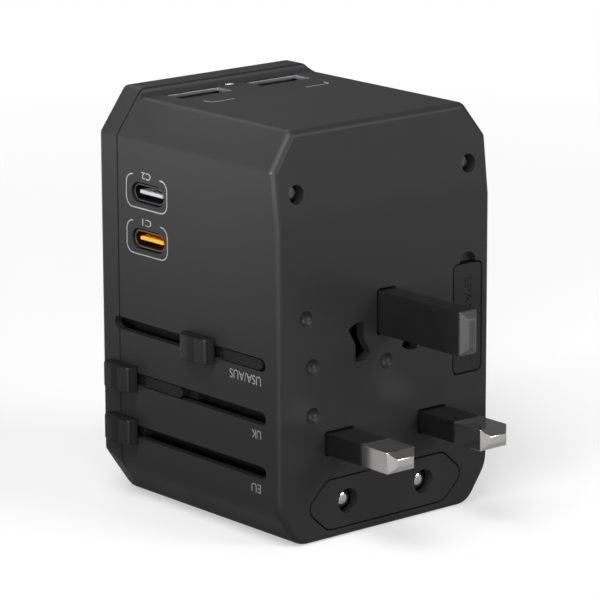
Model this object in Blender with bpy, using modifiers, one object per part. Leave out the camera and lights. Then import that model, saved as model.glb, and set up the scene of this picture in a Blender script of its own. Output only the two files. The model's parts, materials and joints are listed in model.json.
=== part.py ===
# Universal travel adapter: sliding UK, USA/AUS and EU plugs on the front face,
# a shuttered universal socket on the back, two USB-A and two USB-C charging ports.
#
# Frame: +Z up, -Y out of the pin face, -X out of the side with the slide buttons.
# The origin is the middle of the flat end that the adapter stands on.
# Sizes are in millimetres. A depth is measured backwards from the pin face.

import math

import bmesh
import bpy
from mathutils import Matrix, Vector

MM = 0.001

# Body
BODY_WIDTH = 50.6
BODY_DEPTH = 51.0
BODY_HEIGHT = 75.2
LIP_RISE = 1.4              # the back cover's top stands this much over the housing's top
COVER_DEPTH = 5.5
WALL = 1.6
FACE_WALL = 2.0             # thickness of the pin face
SEAM = 0.3                  # open joint between the housing and the back cover
TOP_CHAMFER = (4.8, 6.5)    # inwards, downwards
FOOT_CHAMFER = (4.8, 6.8)
TOP_ROUND = 1.5
FOOT_ROUNDS = (4.2, 6.5)    # at the base, at the side
COVER_FOOT_SLOPE = 1.2      # how far the cover's foot chamfers run inwards at the socket face
FACE_ROUND = 1.2            # round along the edge of the pin face
LEAN_START = 58.0           # above this height the pin face leans back
LEAN_SLOPE = 0.115

DIMPLES = ((-18.9, 41.7), (-17.5, 32.7), (-17.4, 23.8), (0.0, 30.9))
DIMPLE = (1.5, 1.1)         # radius, depth

GAP = 0.3                   # clearance between neighbouring pieces
JOIN = 0.2                  # how far two shapes of one piece run into each other
ARC_STEPS = 4

# UK plug
UK_SPAN = 22.2              # between the live and neutral pins
UK_EARTH_RISE = 22.2        # earth pin above the line of the other two
UK_ROW_HEIGHT = 18.0        # live and neutral pins above the base
UK_PIN = (6.35, 4.0)        # width, height
UK_PIN_LENGTH = 17.7
UK_EARTH = (4.0, 8.0)
UK_EARTH_LENGTH = 22.7
UK_SLEEVE_LENGTH = 9.5
UK_CORE_TRIM = 1.75         # a pin's core is this much slimmer under its sleeve
SLEEVE_LINE = 0.12          # open line between a sleeve and the bare metal
TIP_CHAMFER = 1.3
UK_TRAVEL = 22.7

# USA / AUS plug
BLADE = (1.5, 6.35)         # thickness, height
BLADE_SPAN = 12.7
BLADE_HEIGHT = 35.5         # blade centres above the base
BLADE_REACH = 17.7          # beyond the face when it is out
BLADE_TWIST = 30.0          # degrees
STEM_RADIUS = 2.1
STEM_HEAD_RADIUS = 3.2
BLADE_TRAVEL = 22.7

# EU plug
EU_SPAN = 18.2
EU_HEIGHT = 6.5
EU_PIN_RADIUS = 2.0
EU_PIN_REACH = 18.8         # beyond the block when it is out
EU_PIN_RECESS = 1.2         # tips behind the face when it is in
EU_BLOCK = (35.8, 9.1)      # width, height
EU_BLOCK_SHOULDER = 4.0     # how far in the sloping corners reach
EU_BLOCK_ROUNDS = (2.4, 1.9)
EU_BLOCK_TIP = 1.8          # height of the short upright side at each end
EU_BLOCK_WALL = 1.5
EU_BLOCK_FACE = 2.0
EU_BLOCK_TRAVEL = 16.0
EU_HOLE_RADIUS = 2.3
EU_NOSE = 0.9               # length of a pin's rounded end
EU_NOSE_TIP = 1.1           # its radius at the very end
EU_FLANGE = 1.5             # stop rim at the back of the block

# Sliding carriages
PLATE = 3.0                 # carriage plate thickness
ARM = 2.2                   # arm layer along the inside of the button wall
SLOT_HEIGHT = 2.4
SLOT_FRONT = 3.45           # depths of a slot's two ends
SLOT_BACK = 47.0
UK_SLOT_HEIGHT = 33.5
BLADE_SLOT_HEIGHT = 23.7
EU_SLOT_HEIGHT = 13.7
KNOB = (2.6, 7.4, 4.8)      # proud of the side, length, height
KNOB_IN = 44.2              # depth of a knob's middle when its plug is in
TONGUE_LENGTH = 10.8        # flush strip ahead of a knob
NOTCH_LENGTH = 3.0          # between the strip and the knob

# Spare fuse drawer
DRAWER = (6.7, 20.3)        # width, height of its cover
DRAWER_EDGE = 2.2           # from the side of the body to the cover
DRAWER_FOOT = 25.4
DRAWER_COVER = 1.7
SPARE_FUSE = (2.5, 18.0)    # radius, length
NOTCH_RADIUS = 2.0

# Back socket
SOCKET_FACE = 1.8
SHUTTER = 2.0
SHUTTER_TRAVEL = 9.5
SPRING_RADIUS = 0.95
SPRING_WIRE = 0.2
SPRING_TURNS = 10

# Contacts
STRIP = 0.7
JAW_FRONT = 31.5            # nothing fixed stands ahead of this depth in the carriages' way
MAIN_FUSE = (3.15, 25.4)
FUSE_HEIGHT = 29.0

# Charger
USB_C_DEPTH = 36.6
USB_C_HEIGHTS = (50.4, 59.0)
USB_C_SHELL = (8.94, 3.26, 7.2)
USB_C_TONGUE_IN = 0.4       # tongue behind the mouth of its shell
USB_A_SPAN = 18.8
USB_A_DEPTH = 41.0
USB_A_HOLE = (12.8, 5.4)
USB_A_SHELL = (13.2, 5.8, 12.2)
BOARD = 1.6
POWER_BOARD_DEPTH = 27.5
POWER_FLOOR = 49.8
SCREW_SPAN = 40.8
SCREW_DROP = 11.0           # housing screws below the top
SCREW_HEAD_RADIUS = 1.45
SCREW_RADIUS = 0.95
LIGHT = (1.8, 0.8)

HALF_WIDTH = BODY_WIDTH / 2
INNER_WIDTH = HALF_WIDTH - WALL
SEAM_DEPTH = BODY_DEPTH - COVER_DEPTH
UK_EARTH_HEIGHT = UK_ROW_HEIGHT + UK_EARTH_RISE
ARM_OUT = INNER_WIDTH - GAP             # |x| of the arm layer's outer side
ARM_IN = ARM_OUT - ARM
GUIDE_OUT = ARM_IN - 0.4
GUIDE_IN = GUIDE_OUT - 0.8
COVER_INSIDE = BODY_DEPTH - SOCKET_FACE
SHUTTER_BACK = COVER_INSIDE - 2 * GAP
SHUTTER_FRONT = SHUTTER_BACK - SHUTTER
CARRIER_BACK = SHUTTER_FRONT - GAP
PLATE_OUT = FACE_WALL + GAP             # front of a carriage plate when its plug is out
LIGHT_DEPTH = SEAM_DEPTH - 1.5

MATERIALS = {
    "shell_black": ((0.042, 0.042, 0.043), 0.52, 0.0),
    "inner_plastic": ((0.03, 0.03, 0.032), 0.5, 0.0),
    "pin_plastic": ((0.022, 0.022, 0.023), 0.38, 0.0),
    "nickel": ((0.75, 0.74, 0.72), 0.22, 1.0),
    "brass": ((0.72, 0.55, 0.25), 0.3, 1.0),
    "steel": ((0.5, 0.5, 0.51), 0.3, 1.0),
    "board": ((0.02, 0.12, 0.05), 0.5, 0.0),
    "ferrite": ((0.05, 0.05, 0.055), 0.6, 0.0),
    "capacitor_skin": ((0.03, 0.04, 0.08), 0.35, 0.0),
    "ceramic": ((0.82, 0.8, 0.76), 0.35, 0.0),
    "orange_plastic": ((0.9, 0.33, 0.04), 0.4, 0.0),
    "grey_plastic": ((0.35, 0.36, 0.37), 0.4, 0.0),
    "light_pipe": ((0.75, 0.77, 0.78), 0.25, 0.0),
}


def start_scene():
    for old in list(bpy.data.objects):
        bpy.data.objects.remove(old, do_unlink=True)
    made = []
    for name in ("travel_adapter", "cutters"):
        group = bpy.data.collections.new(name)
        bpy.context.scene.collection.children.link(group)
        made.append(group)
    return made


PARTS, TOOLS = start_scene()
FINISHES = {}


def finish(name):
    if name not in FINISHES:
        colour, roughness, metallic = MATERIALS[name]
        material = bpy.data.materials.new(name)
        material.use_nodes = True
        shader = material.node_tree.nodes["Principled BSDF"]
        shader.inputs["Base Color"].default_value = (*colour, 1.0)
        shader.inputs["Roughness"].default_value = roughness
        shader.inputs["Metallic"].default_value = metallic
        FINISHES[name] = material
    return FINISHES[name]


def back(depth):
    # Y of a depth behind the pin face
    return depth - BODY_DEPTH / 2


def add_object(name, mesh, centre, material):
    # with no material the object is a cutter or another building aid
    thing = bpy.data.objects.new(name, mesh)
    thing.location = Vector(centre) * MM
    if material:
        mesh.materials.append(finish(material))
        PARTS.objects.link(thing)
    else:
        TOOLS.objects.link(thing)
        thing.hide_render = True
        thing.display_type = "WIRE"
    return thing


def box(name, xs, depths, zs, material=None):
    centre = (sum(xs) / 2, back(sum(depths) / 2), sum(zs) / 2)
    size = (xs[1] - xs[0], depths[1] - depths[0], zs[1] - zs[0])
    shape = bmesh.new()
    bmesh.ops.create_cube(shape, size=MM)
    bmesh.ops.scale(shape, vec=size, verts=shape.verts)
    mesh = bpy.data.meshes.new(name)
    shape.to_mesh(mesh)
    shape.free()
    return add_object(name, mesh, centre, material)


TURNS = {
    "X": Matrix(((0, 0, 1), (1, 0, 0), (0, 1, 0))).to_4x4(),
    "Y": Matrix(((1, 0, 0), (0, 0, -1), (0, 1, 0))).to_4x4(),
    "Z": Matrix.Identity(4),
}


def round_rod(name, axis, radius, length, centre, material=None, sides=24, tip=None):
    # centre is x, depth, z; with a tip the rod narrows to that radius at its far end
    shape = bmesh.new()
    bmesh.ops.create_cone(shape, cap_ends=True, segments=sides, radius1=radius * MM,
                          radius2=(radius if tip is None else tip) * MM, depth=length * MM)
    bmesh.ops.transform(shape, matrix=TURNS[axis], verts=shape.verts)
    mesh = bpy.data.meshes.new(name)
    shape.to_mesh(mesh)
    shape.free()
    mesh.shade_smooth()
    mesh.set_sharp_from_angle(angle=math.radians(35))
    return add_object(name, mesh, (centre[0], back(centre[1]), centre[2]), material)


def ball(name, radius, centre):
    # a cutter; centre is x, depth, z
    shape = bmesh.new()
    bmesh.ops.create_uvsphere(shape, u_segments=20, v_segments=12, radius=radius * MM)
    bmesh.ops.transform(shape, matrix=TURNS["Y"], verts=shape.verts)
    mesh = bpy.data.meshes.new(name)
    shape.to_mesh(mesh)
    shape.free()
    return add_object(name, mesh, (centre[0], back(centre[1]), centre[2]), None)


def curve_to_mesh(name, curve):
    holder = bpy.data.objects.new(name + "_line", curve)
    bpy.context.scene.collection.objects.link(holder)
    graph = bpy.context.evaluated_depsgraph_get()
    mesh = bpy.data.meshes.new_from_object(holder.evaluated_get(graph))
    mesh.name = name
    bpy.data.objects.remove(holder, do_unlink=True)
    shape = bmesh.new()
    shape.from_mesh(mesh)
    bmesh.ops.remove_doubles(shape, verts=shape.verts, dist=0.000001)
    bmesh.ops.recalc_face_normals(shape, faces=shape.faces)
    shape.to_mesh(mesh)
    shape.free()
    return mesh


def prism(name, outline, axis, start, end, material=None):
    # outline is drawn in XZ for a prism along Y, in YZ along X and in XY along Z;
    # start and end are depths along Y, and plain coordinates along X and Z
    curve = bpy.data.curves.new(name, "CURVE")
    curve.dimensions = "2D"
    curve.fill_mode = "BOTH"
    curve.extrude = (end - start) / 2 * MM
    line = curve.splines.new("POLY")
    line.points.add(len(outline) - 1)
    for point, (u, v) in zip(line.points, outline):
        point.co = (u * MM, v * MM, 0, 1)
    line.use_cyclic_u = True
    mesh = curve_to_mesh(name, curve)
    mesh.transform(TURNS[axis])
    middle = (start + end) / 2
    centre = {"X": (middle, 0, 0), "Y": (0, back(middle), 0), "Z": (0, 0, middle)}[axis]
    return add_object(name, mesh, centre, material)


def boolean(target, operation, tools):
    for tool in tools:
        step = target.modifiers.new(tool.name, "BOOLEAN")
        step.operation = operation
        step.solver = "EXACT"
        step.object = tool


def cut(target, *tools):
    boolean(target, "DIFFERENCE", tools)


def fuse(target, *tools):
    boolean(target, "UNION", tools)


def carrier_point(name, x, depth, z, parent=None):
    # an empty on a joint's axis; the pieces of a moving body hang on it
    point = bpy.data.objects.new(name, None)
    point.location = Vector((x, back(depth), z)) * MM
    point.empty_display_size = 5 * MM
    PARTS.objects.link(point)
    if parent:
        carry(parent, point)
    return point


def carry(point, *pieces):
    offset = point.location.copy()
    if point.parent:
        offset += point.parent.location
    for piece in pieces:
        piece.parent = point
        piece.location = piece.location - offset


# Outlines

def arc(centre, radius, start, end, steps=ARC_STEPS):
    # angles in degrees
    turns = [math.radians(start + (end - start) * i / steps) for i in range(steps + 1)]
    return [(centre[0] + radius * math.cos(t), centre[1] + radius * math.sin(t)) for t in turns]


def rounded(corners, radii, steps=ARC_STEPS):
    # fillet each corner of a closed outline with an arc tangent to both sides
    points = []
    count = len(corners)
    for i, (corner, radius) in enumerate(zip(corners, radii)):
        here = Vector(corner)
        before = (Vector(corners[i - 1]) - here).normalized()
        after = (Vector(corners[(i + 1) % count]) - here).normalized()
        if radius <= 0:
            points.append(corner)
            continue
        half = before.angle(after) / 2
        middle = here + (before + after).normalized() * radius / math.sin(half)
        first = here + before * radius / math.tan(half)
        last = here + after * radius / math.tan(half)
        start = math.atan2(*(first - middle).yx)
        sweep = math.atan2(*(last - middle).yx) - start
        sweep = (sweep + math.pi) % (2 * math.pi) - math.pi
        for step in range(steps + 1):
            turn = start + sweep * step / steps
            points.append((middle.x + radius * math.cos(turn), middle.y + radius * math.sin(turn)))
    return points


def inset(corners, distance):
    # move every side of a convex outline, drawn anticlockwise, inwards
    moved = []
    count = len(corners)
    for i, corner in enumerate(corners):
        before = Vector(corner) - Vector(corners[i - 1])
        after = Vector(corners[(i + 1) % count]) - Vector(corner)
        first = Vector((-before.y, before.x)).normalized()
        second = Vector((-after.y, after.x)).normalized()
        shift = (first + second) * distance / (1 + first.dot(second))
        moved.append((corner[0] + shift.x, corner[1] + shift.y))
    return moved


def body_outline(distance, top):
    # eight-sided section of the body, inset by a wall
    in_top = TOP_CHAMFER[0] * (TOP_CHAMFER[1] + top - BODY_HEIGHT) / TOP_CHAMFER[1]
    high = BODY_HEIGHT - TOP_CHAMFER[1]
    right = [(HALF_WIDTH - FOOT_CHAMFER[0], 0), (HALF_WIDTH, FOOT_CHAMFER[1]),
             (HALF_WIDTH, high), (HALF_WIDTH - in_top, top)]
    corners = right + [(-x, z) for x, z in reversed(right)]
    base, side = (max(radius - distance, 0.5) for radius in FOOT_ROUNDS)
    head = max(TOP_ROUND - distance, 0.5)
    radii = [base, side, head, head, head, head, side, base]
    return rounded(inset(corners, distance), radii)


def lean_face(thing, depth):
    # tip the pin face back above LEAN_START, keeping every side flat
    shape = bmesh.new()
    shape.from_mesh(thing.data)
    geometry = shape.verts[:] + shape.edges[:] + shape.faces[:]
    bmesh.ops.bisect_plane(shape, geom=geometry, plane_co=(0, 0, LEAN_START * MM),
                           plane_no=(0, 0, 1), dist=0.000001)
    front = back(depth) * MM - thing.location.y
    for vertex in shape.verts:
        rise = vertex.co.z - LEAN_START * MM
        if rise > 0 and abs(vertex.co.y - front) < 0.00001:
            vertex.co.y += rise * LEAN_SLOPE
    shape.to_mesh(thing.data)
    shape.free()


def round_edges(thing, width, angle, segments=3):
    step = thing.modifiers.new("edges", "BEVEL")
    step.width = width * MM
    step.segments = segments
    step.limit_method = "ANGLE"
    step.angle_limit = math.radians(angle)
    step.use_clamp_overlap = False
    return step


def face_depth(height):
    # depth of the leaning pin face at a height
    return max(0.0, height - LEAN_START) * LEAN_SLOPE


def rectangle(u, v, width, height, radius=0.0, steps=ARC_STEPS):
    corners = [(u - width / 2, v - height / 2), (u + width / 2, v - height / 2),
               (u + width / 2, v + height / 2), (u - width / 2, v + height / 2)]
    return rounded(corners, [radius] * 4, steps)


def bow_tie(side, clearance):
    # everything a blade sweeps as it twists about its own axis
    half_w = BLADE[0] / 2 + clearance
    half_h = BLADE[1] / 2 + clearance
    reach = math.hypot(half_w, half_h)
    corner = math.degrees(math.atan2(half_h, half_w))
    waist = (half_w, half_w * math.tan(math.radians(BLADE_TWIST / 2)))
    top = arc((0, 0), reach, corner, 180 - corner + BLADE_TWIST)
    points = top + [(-waist[0], -waist[1])] + [(-u, -v) for u, v in top] + [waist]
    centre = side * BLADE_SPAN / 2
    flip = -side
    return [(centre + flip * u, BLADE_HEIGHT + v) for u, v in points]


def eu_outline(grow):
    width, height = EU_BLOCK
    slope_in = EU_BLOCK_SHOULDER
    half, rise, end = width / 2, height / 2, EU_BLOCK_TIP / 2
    corners = [(-half + slope_in, -rise), (half - slope_in, -rise), (half, -end), (half, end),
               (half - slope_in, rise), (-half + slope_in, rise), (-half, end), (-half, -end)]
    corners = inset([(u, v + EU_HEIGHT) for u, v in corners], -grow)
    shoulder, tip = EU_BLOCK_ROUNDS
    radii = [shoulder, shoulder, tip, tip] * 2
    return rounded(corners, [max(r + grow, 0.1) for r in radii], 3)


def slot_outline(height, start, end, high):
    # capsule in YZ
    radius = high / 2
    first = arc((back(end) - radius, height), radius, -90, 90)
    last = arc((back(start) + radius, height), radius, 90, 270)
    return first + last


def socket_outlines(side):
    # one entry for UK, EU, USA and AUS pins on each side of the back socket
    half = UK_SPAN / 2
    uk = rectangle(side * half, UK_ROW_HEIGHT, UK_PIN[0] + 0.8, UK_PIN[1] + 0.8, 0.4, 2)
    eu = arc((side * 9.3, UK_ROW_HEIGHT + 1.2), EU_PIN_RADIUS + 0.5, 0, 340, 17)
    blade = rectangle(side * BLADE_SPAN / 2, UK_ROW_HEIGHT + 1.2, BLADE[0] + 0.7, BLADE[1] + 0.8,
                      0.3, 2)
    turn = math.radians(BLADE_TWIST) * side
    slanted = []
    for u, v in rectangle(0, 0, BLADE[0] + 0.7, BLADE[1] + 0.8, 0.3, 2):
        slanted.append((side * 7.6 + u * math.cos(turn) - v * math.sin(turn),
                        UK_ROW_HEIGHT + 1.2 + u * math.sin(turn) + v * math.cos(turn)))
    return {"uk": uk, "eu": eu, "usa": blade, "aus": slanted}


# Fixed pieces

def make_front_housing():
    tail = SEAM_DEPTH + 4
    shell = prism("front_housing", body_outline(0, BODY_HEIGHT), "Y", 0, tail, "shell_black")
    lean_face(shell, 0)
    round_edges(shell, FACE_ROUND, 62)
    hollow = prism("housing_hollow", body_outline(WALL, BODY_HEIGHT), "Y", FACE_WALL, tail + 1)
    lean_face(hollow, FACE_WALL)
    wide = HALF_WIDTH + 5
    trim = box("seam_trim", (-wide, wide), (SEAM_DEPTH - SEAM / 2, tail + 5), (-5, BODY_HEIGHT + 5))
    cut(shell, hollow, trim)
    for side, name in ((-1, "left"), (1, "right")):
        x = side * SCREW_SPAN / 2
        height = BODY_HEIGHT - SCREW_DROP
        face = face_depth(height)
        seat = round_rod("screw_seat_" + name, "Y", SCREW_HEAD_RADIUS + 1.4, 8,
                         (x, face + 5, height), sides=16)
        fuse(shell, seat)
        head = round_rod("screw_mouth_" + name, "Y", SCREW_HEAD_RADIUS + GAP, 6,
                         (x, face + 2.2, height), sides=20)
        shank = round_rod("screw_way_" + name, "Y", SCREW_RADIUS + GAP, 30,
                          (x, face + 10, height), sides=12)
        cut(shell, head, shank)
    cut(shell, *pin_face_cutters())
    cut(shell, *side_cutters("housing"))
    for side, name in ((-1, "left"), (1, "right")):
        width, deep = USB_A_HOLE
        outline = rectangle(side * USB_A_SPAN / 2, back(USB_A_DEPTH), width, deep, 0.3, 2)
        mouth = prism("usb_a_mouth_" + name, outline, "Z", BODY_HEIGHT - WALL - 1, BODY_HEIGHT + 2)
        cut(shell, mouth)
    cut(shell, prism("light_way", light_outline(GAP), "Z", BODY_HEIGHT - WALL - 1, BODY_HEIGHT + 2))
    return shell


def light_outline(grow):
    width, deep = LIGHT
    return rectangle(0, back(LIGHT_DEPTH), width + 2 * grow, deep + 2 * grow, 0.39 + grow, 3)


def pin_face_cutters():
    through = (-2, FACE_WALL + 1)
    tools = []
    for side, name in ((-1, "left"), (1, "right")):
        outline = rectangle(side * UK_SPAN / 2, UK_ROW_HEIGHT, UK_PIN[0] + 2 * GAP,
                            UK_PIN[1] + 2 * GAP, 0.5, 2)
        tools.append(prism("uk_way_" + name, outline, "Y", *through))
        tools.append(prism("blade_way_" + name, bow_tie(side, GAP), "Y", *through))
    outline = rectangle(0, UK_EARTH_HEIGHT, UK_EARTH[0] + 2 * GAP, UK_EARTH[1] + 2 * GAP, 0.5, 2)
    tools.append(prism("earth_way", outline, "Y", *through))
    tools.append(prism("eu_way", eu_outline(GAP), "Y", *through))
    width, height = DRAWER
    outline = rectangle(drawer_x(), DRAWER_FOOT + height / 2, width + 2 * GAP, height + 2 * GAP, 1.2)
    tools.append(prism("drawer_way", outline, "Y", *through))
    notch = round_rod("finger_notch", "Y", NOTCH_RADIUS, 2.6,
                      (drawer_x(), 0, DRAWER_FOOT + height + GAP), sides=24)
    tools.append(notch)
    mouth, deep = DIMPLE
    ball_radius = (mouth ** 2 + deep ** 2) / (2 * deep)
    for number, (x, z) in enumerate(DIMPLES):
        tools.append(ball("dimple_%d" % number, ball_radius, (x, deep - ball_radius, z)))
    return tools


def side_cutters(owner):
    # slots and USB-C mouths in the button side
    across = (-HALF_WIDTH - 3, -INNER_WIDTH + 0.8)
    tools = []
    for name, height in (("uk", UK_SLOT_HEIGHT), ("blade", BLADE_SLOT_HEIGHT), ("eu", EU_SLOT_HEIGHT)):
        outline = slot_outline(height, SLOT_FRONT, SLOT_BACK, SLOT_HEIGHT)
        tools.append(prism(name + "_slot_" + owner, outline, "X", *across))
    if owner == "housing":
        for number, height in enumerate(USB_C_HEIGHTS):
            width, high, _ = USB_C_SHELL
            outline = rectangle(back(USB_C_DEPTH), height, width + 2 * GAP, high + 2 * GAP,
                                high / 2 + GAP - 0.01)
            tools.append(prism("usb_c_mouth_%d" % number, outline, "X", *across))
    return tools


def foot_slopes():
    # cutters that let the cover's foot chamfers run inwards towards the socket face
    tools = []
    turn = Matrix.Rotation(math.atan2(COVER_FOOT_SLOPE, COVER_DEPTH), 4, "Z")
    lean = math.atan2(FOOT_CHAMFER[0], FOOT_CHAMFER[1])
    for side, name, angle in ((-1, "left", math.pi - lean), (1, "right", lean)):
        tool = box("foot_slope_" + name, (0, 12), (BODY_DEPTH / 2 - 20, BODY_DEPTH / 2 + 20), (-20, 20))
        place = Vector((side * HALF_WIDTH, back(SEAM_DEPTH), FOOT_CHAMFER[1])) * MM
        tool.matrix_world = (Matrix.Translation(place) @ Matrix.Rotation(angle, 4, "Y") @ turn
                             @ tool.matrix_basis)
        tools.append(tool)
    return tools


def make_back_cover():
    top = BODY_HEIGHT + LIP_RISE
    front = SEAM_DEPTH + SEAM / 2
    lead = 4
    cover = prism("rear_cover", body_outline(0, top), "Y", front - lead, BODY_DEPTH, "shell_black")
    round_edges(cover, 1.0, 62)
    hollow = prism("cover_hollow", body_outline(WALL, top), "Y", front - lead - 2, COVER_INSIDE)
    wide = HALF_WIDTH + 5
    trim = box("cover_trim", (-wide, wide), (front - lead - 3, front), (-5, top + 5))
    cut(cover, trim, hollow, *foot_slopes())
    post_front = SEAM_DEPTH - 8
    for side, name in ((-1, "left"), (1, "right")):
        x = side * SCREW_SPAN / 2
        height = BODY_HEIGHT - SCREW_DROP
        length = COVER_INSIDE + 0.5 - post_front
        middle = post_front + length / 2
        post = round_rod("cover_post_" + name, "Y", 2.5, length, (x, middle, height), sides=16)
        fuse(cover, post)
        bore = round_rod("post_bore_" + name, "Y", SCREW_RADIUS + GAP, length,
                         (x, middle - 1.5, height), sides=12)
        cut(cover, bore)
        for kind, outline in socket_outlines(side).items():
            entry = prism("entry_%s_%s" % (kind, name), outline, "Y", COVER_INSIDE - 1, BODY_DEPTH + 2)
            cut(cover, entry)
    outline = rectangle(0, UK_EARTH_HEIGHT, UK_EARTH[0] + 0.8, UK_EARTH[1] + 0.8, 0.4, 2)
    cut(cover, prism("entry_earth", outline, "Y", COVER_INSIDE - 1, BODY_DEPTH + 2))
    cut(cover, *side_cutters("cover"))
    return cover


def make_shutter():
    # a plate over the live and neutral entries, with a ramped tongue behind the earth entry
    low = UK_ROW_HEIGHT - 3.9
    high = UK_ROW_HEIGHT + 5.7
    half = UK_SPAN / 2 + 4.4
    plate = box("socket_shutter", (-half, half), (SHUTTER_FRONT, SHUTTER_BACK), (low, high),
                "inner_plastic")
    tongue_top = UK_EARTH_HEIGHT + UK_EARTH[1] / 2
    tongue = box("shutter_tongue", (-2.5, 2.5), (SHUTTER_FRONT, SHUTTER_BACK), (high - 1, tongue_top))
    fuse(plate, tongue)
    notch_top = high - 3
    notch = box("spring_notch", (-1.7, 1.7), (SHUTTER_FRONT - 1, SHUTTER_BACK + 1),
                (low - 1, notch_top))
    cut(plate, notch)
    slope = math.atan2(SHUTTER * 0.7, UK_EARTH[1])
    ramp = box("shutter_ramp", (-4, 4), (SHUTTER_BACK, SHUTTER_BACK + 3),
               (UK_EARTH_HEIGHT - 8, UK_EARTH_HEIGHT + 8))
    ramp.rotation_euler = (slope, 0, 0)
    cut(plate, ramp)
    make_spring(WALL + 0.6, notch_top - 0.4)
    return plate


def make_spring(foot, head):
    curve = bpy.data.curves.new("shutter_spring", "CURVE")
    curve.dimensions = "3D"
    curve.bevel_depth = SPRING_WIRE * MM
    curve.bevel_resolution = 1
    curve.use_fill_caps = True
    line = curve.splines.new("POLY")
    per_turn = 9
    count = SPRING_TURNS * per_turn
    line.points.add(count)
    for i, point in enumerate(line.points):
        turn = 2 * math.pi * i / per_turn
        height = foot + (head - foot) * i / count
        across, deep = SPRING_RADIUS * math.cos(turn), SPRING_RADIUS * math.sin(turn)
        point.co = (across * MM, deep * MM, height * MM, 1)
    mesh = curve_to_mesh("shutter_spring", curve)
    middle = (SHUTTER_FRONT + SHUTTER_BACK) / 2
    add_object("shutter_spring", mesh, (0, back(middle), 0), "steel")


def make_carrier():
    low = UK_ROW_HEIGHT + 4.0
    high = BLADE_HEIGHT + 4.0
    block = box("contact_carrier", (-GUIDE_IN + GAP, INNER_WIDTH - GAP), (JAW_FRONT, CARRIER_BACK),
                (low, high), "inner_plastic")
    radius, length = MAIN_FUSE
    half = length / 2 + 1.2
    pocket = box("fuse_pocket", (-half, half), (JAW_FRONT - 1, JAW_FRONT + 9),
                 (FUSE_HEIGHT - radius - 1.2, FUSE_HEIGHT + radius + 1.2))
    earth = box("earth_pocket", (-3.6, 3.6), (JAW_FRONT - 1, CARRIER_BACK + 1),
                (UK_EARTH_HEIGHT - 4.4, high + 1))
    cut(block, pocket, earth)
    guide = box("slide_guide", (-GUIDE_OUT, -GUIDE_IN), (FACE_WALL + GAP, COVER_INSIDE - GAP),
                (EU_SLOT_HEIGHT - 2.9, UK_EARTH_HEIGHT + 3.8), "inner_plastic")
    way = box("blade_arm_way", (-GUIDE_OUT - 1, -GUIDE_IN + 1), (FACE_WALL - 1, JAW_FRONT - 1.5),
              (BLADE_SLOT_HEIGHT + 2.9, BLADE_SLOT_HEIGHT + 5.9))
    cut(guide, way)
    return block, guide


def make_main_fuse():
    radius, length = MAIN_FUSE
    depth = JAW_FRONT + 4.6
    round_rod("main_fuse", "X", radius, length, (0, depth, FUSE_HEIGHT), "ceramic", 20)
    for side, name in ((-1, "left"), (1, "right")):
        x = side * (length / 2 - 3)
        reach = radius + 0.9
        clip = box("fuse_clip_" + name, (x - 2, x + 2), (depth - 3.8, depth + reach),
                   (FUSE_HEIGHT - reach, FUSE_HEIGHT + reach), "brass")
        seat = round_rod("clip_seat_" + name, "X", radius + GAP, 6, (x, depth, FUSE_HEIGHT), sides=20)
        mouth = box("clip_mouth_" + name, (x - 3, x + 3), (depth - 6, depth),
                    (FUSE_HEIGHT - radius * 0.7, FUSE_HEIGHT + radius * 0.7))
        cut(clip, seat, mouth)


def make_contacts():
    row = UK_ROW_HEIGHT
    top = row + 2.9
    for side, name in ((-1, "live_contact"), (1, "neutral_contact")):
        inner, outer = 5.2, 15.0
        xs = sorted((side * inner, side * outer))
        jaw = box(name, xs, (JAW_FRONT, CARRIER_BACK), (row - 2.9, top + STRIP + 0.1), "brass")
        mouth = box(name + "_mouth", (xs[0] - 1, xs[1] + 1), (JAW_FRONT + STRIP, CARRIER_BACK + 1),
                    (row - 2.9 + STRIP, top))
        cut(jaw, mouth)
        bar_xs = sorted((side * 7.6, side * 11.2))
        bar = box(name + "_bar", bar_xs, (PLATE_OUT + PLATE + 0.3, JAW_FRONT + 2), (top, top + STRIP))
        fuse(jaw, bar)
    for side, name in ((-1, "live_blade_strip"), (1, "neutral_blade_strip")):
        xs = sorted((side * 4.6, side * 8.2))
        height = BLADE_HEIGHT + 4.0 + GAP
        box(name, xs, (PLATE_OUT + PLATE + 0.3, CARRIER_BACK), (height, height + STRIP), "brass")
    half = UK_EARTH[0] / 2 + 0.5
    clip = box("earth_contact", (-half - STRIP, half + STRIP), (JAW_FRONT, CARRIER_BACK),
               (UK_EARTH_HEIGHT - 3.9, UK_EARTH_HEIGHT + 3.6), "brass")
    mouth = box("earth_contact_mouth", (-half, half), (JAW_FRONT + STRIP, CARRIER_BACK + 1),
                (UK_EARTH_HEIGHT - 5, UK_EARTH_HEIGHT + 5))
    cut(clip, mouth)


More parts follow.
